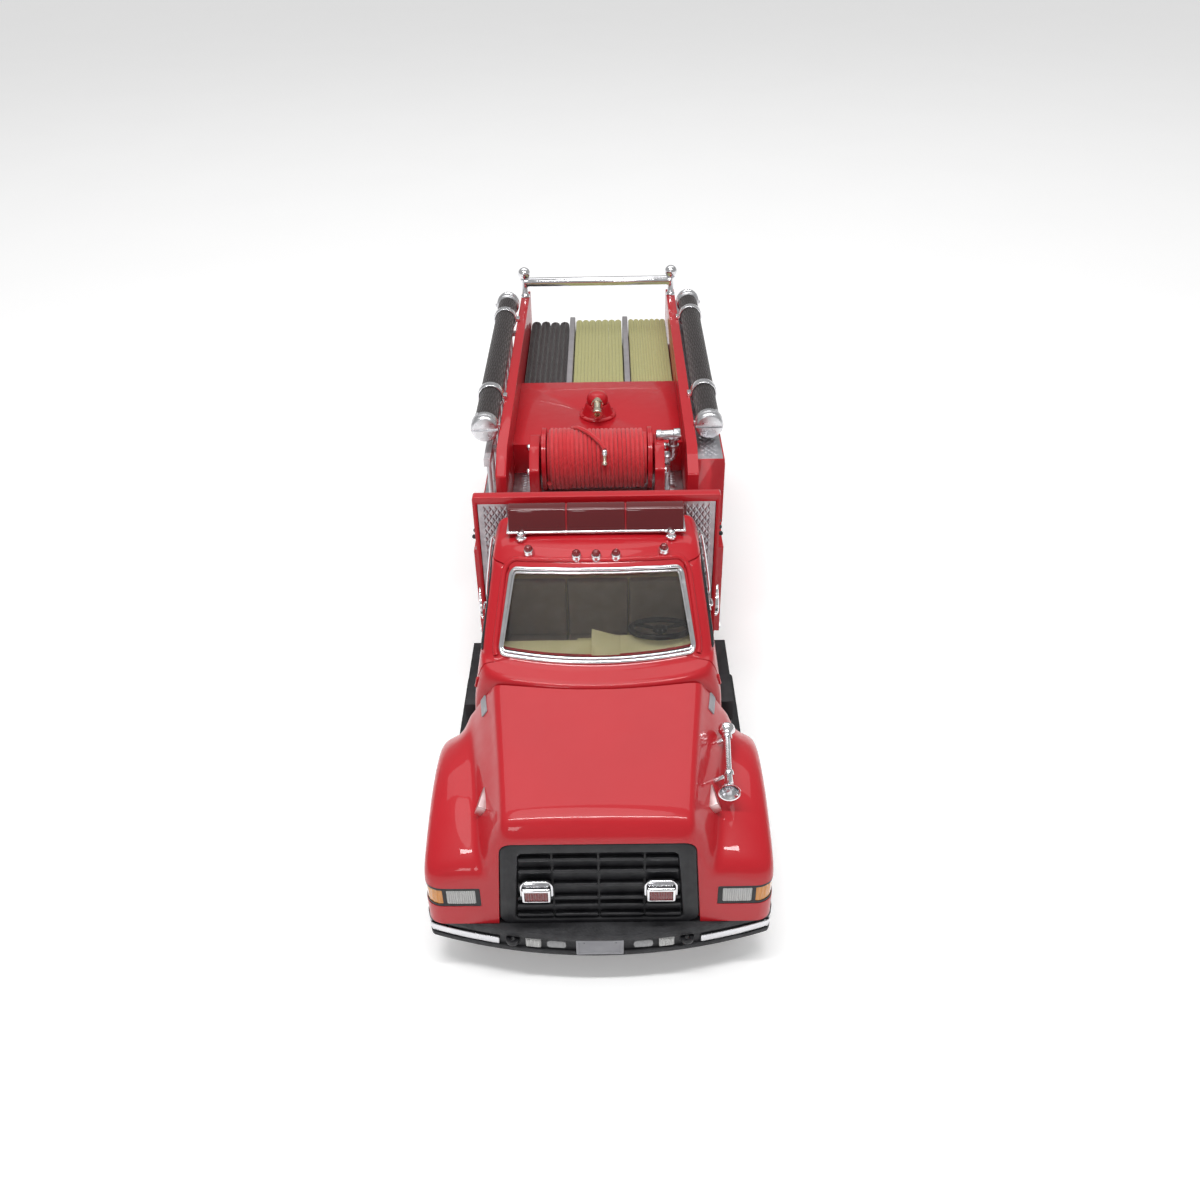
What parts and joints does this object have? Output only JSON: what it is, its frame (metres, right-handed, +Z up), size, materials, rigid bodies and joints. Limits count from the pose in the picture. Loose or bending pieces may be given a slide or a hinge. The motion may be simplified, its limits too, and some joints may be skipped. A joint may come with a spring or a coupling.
{
  "type": "scale model fire engine",
  "caption": "Die-cast scale model of a conventional-cab pumper fire engine with rolling wheels, a hose reel, a swivelling deck gun and an open hose bed.",
  "frame": {"origin": "centre of the footprint at ground level, under the tyres", "axes": "+Z up, the cab faces -Y, +X is the driver's side"},
  "size_m": [0.057, 0.1852, 0.0619],
  "materials": {
    "red_paint": "high-gloss enamel",
    "dark_red_paint": "gloss enamel",
    "black_plastic": "satin moulded",
    "frame_black": "semi-matt",
    "chrome": "vacuum-plated",
    "silver_paint": "satin silver",
    "tread_plate": "diamond tread",
    "grey_plastic": "satin",
    "tan_plastic": "matt",
    "smoked_clear": "smoked, polished",
    "clear_lens": "fluted lens",
    "amber_lens": "gloss lens",
    "red_lens": "gloss lens",
    "light_bar_red": "tinted clear, polished",
    "tyre_rubber": "soft rubber",
    "rim_silver": "bright",
    "axle_steel": "drawn",
    "dark_hose": "satin rubber",
    "cream_hose": "woven moulding",
    "red_hose": "satin rubber",
    "aged_brass": "polished"
  },
  "bodies": {
    "truck": {"chassis_frame": "frame_black", "driveline": "black_plastic", "front_bumper": "black_plastic", "bumper_trim": "chrome", "bumper_lamps": "clear_lens", "number_plate": "silver_paint", "tow_hooks": "black_plastic", "hood": "red_paint", "hood_vents": "silver_paint", "grille": "black_plastic", "grille_lamp_housings": "chrome", "grille_lamp_lenses": "red_lens", "headlamp_bezels": "black_plastic", "headlamp_lenses": "clear_lens", "marker_lenses": "amber_lens", "air_horn": "chrome", "cab_shell": "red_paint", "cab_glazing": "smoked_clear", "windscreen_trim": "chrome", "cab_interior": "tan_plastic", "steering_wheel": "black_plastic", "roof_lamp_bases": "chrome", "roof_lamp_domes": "red_lens", "light_bar_base": "chrome", "light_bar_lens": "light_bar_red", "side_steps": "black_plastic", "front_bulkhead": "red_paint", "bulkhead_plates": "tread_plate", "pump_house": "dark_red_paint", "pump_panels": "silver_paint", "pump_fittings": "chrome", "pump_deck": "tread_plate", "body_left": "red_paint", "body_right": "red_paint", "hose_bed": "grey_plastic", "bed_dividers": "grey_plastic", "deck_box": "red_paint", "dark_hose_load": "dark_hose", "cream_hose_loads": "cream_hose", "reel_frame": "dark_red_paint", "reel_inlet": "chrome", "gun_base": "red_paint", "suction_hoses": "dark_hose", "suction_couplings": "chrome", "hose_brackets": "chrome", "ladder": "silver_paint", "rear_handrail": "chrome", "tailboard": "tread_plate", "tail_lamps": "red_lens"},
    "front_wheels": {"front_axle": "axle_steel", "front_rims": "rim_silver", "front_tyres": "tyre_rubber"},
    "rear_wheels": {"rear_axle": "axle_steel", "rear_rims": "rim_silver", "rear_tyres": "tyre_rubber"},
    "hose_reel": {"reel_drum": "dark_red_paint", "reel_hose": "red_hose", "reel_nozzle": "aged_brass"},
    "deck_monitor": {"deck_gun": "aged_brass"}
  },
  "joints": [
    {"name": "front_axle_roll", "type": "hinge", "parent": "truck", "child": "front_wheels", "pos_m": [0, -0.07, 0.012], "axis": [1, 0, 0], "continuous": true},
    {"name": "rear_axle_roll", "type": "hinge", "parent": "truck", "child": "rear_wheels", "pos_m": [0, 0.051, 0.012], "axis": [1, 0, 0], "continuous": true},
    {"name": "reel_spin", "type": "hinge", "parent": "truck", "child": "hose_reel", "pos_m": [0, 0.0004, 0.049], "axis": [1, 0, 0], "continuous": true},
    {"name": "gun_swivel", "type": "hinge", "parent": "truck", "child": "deck_monitor", "pos_m": [0, 0.02308, 0.0514], "axis": [0, 0, 1], "range_deg": [-90, 90]}
  ]
}
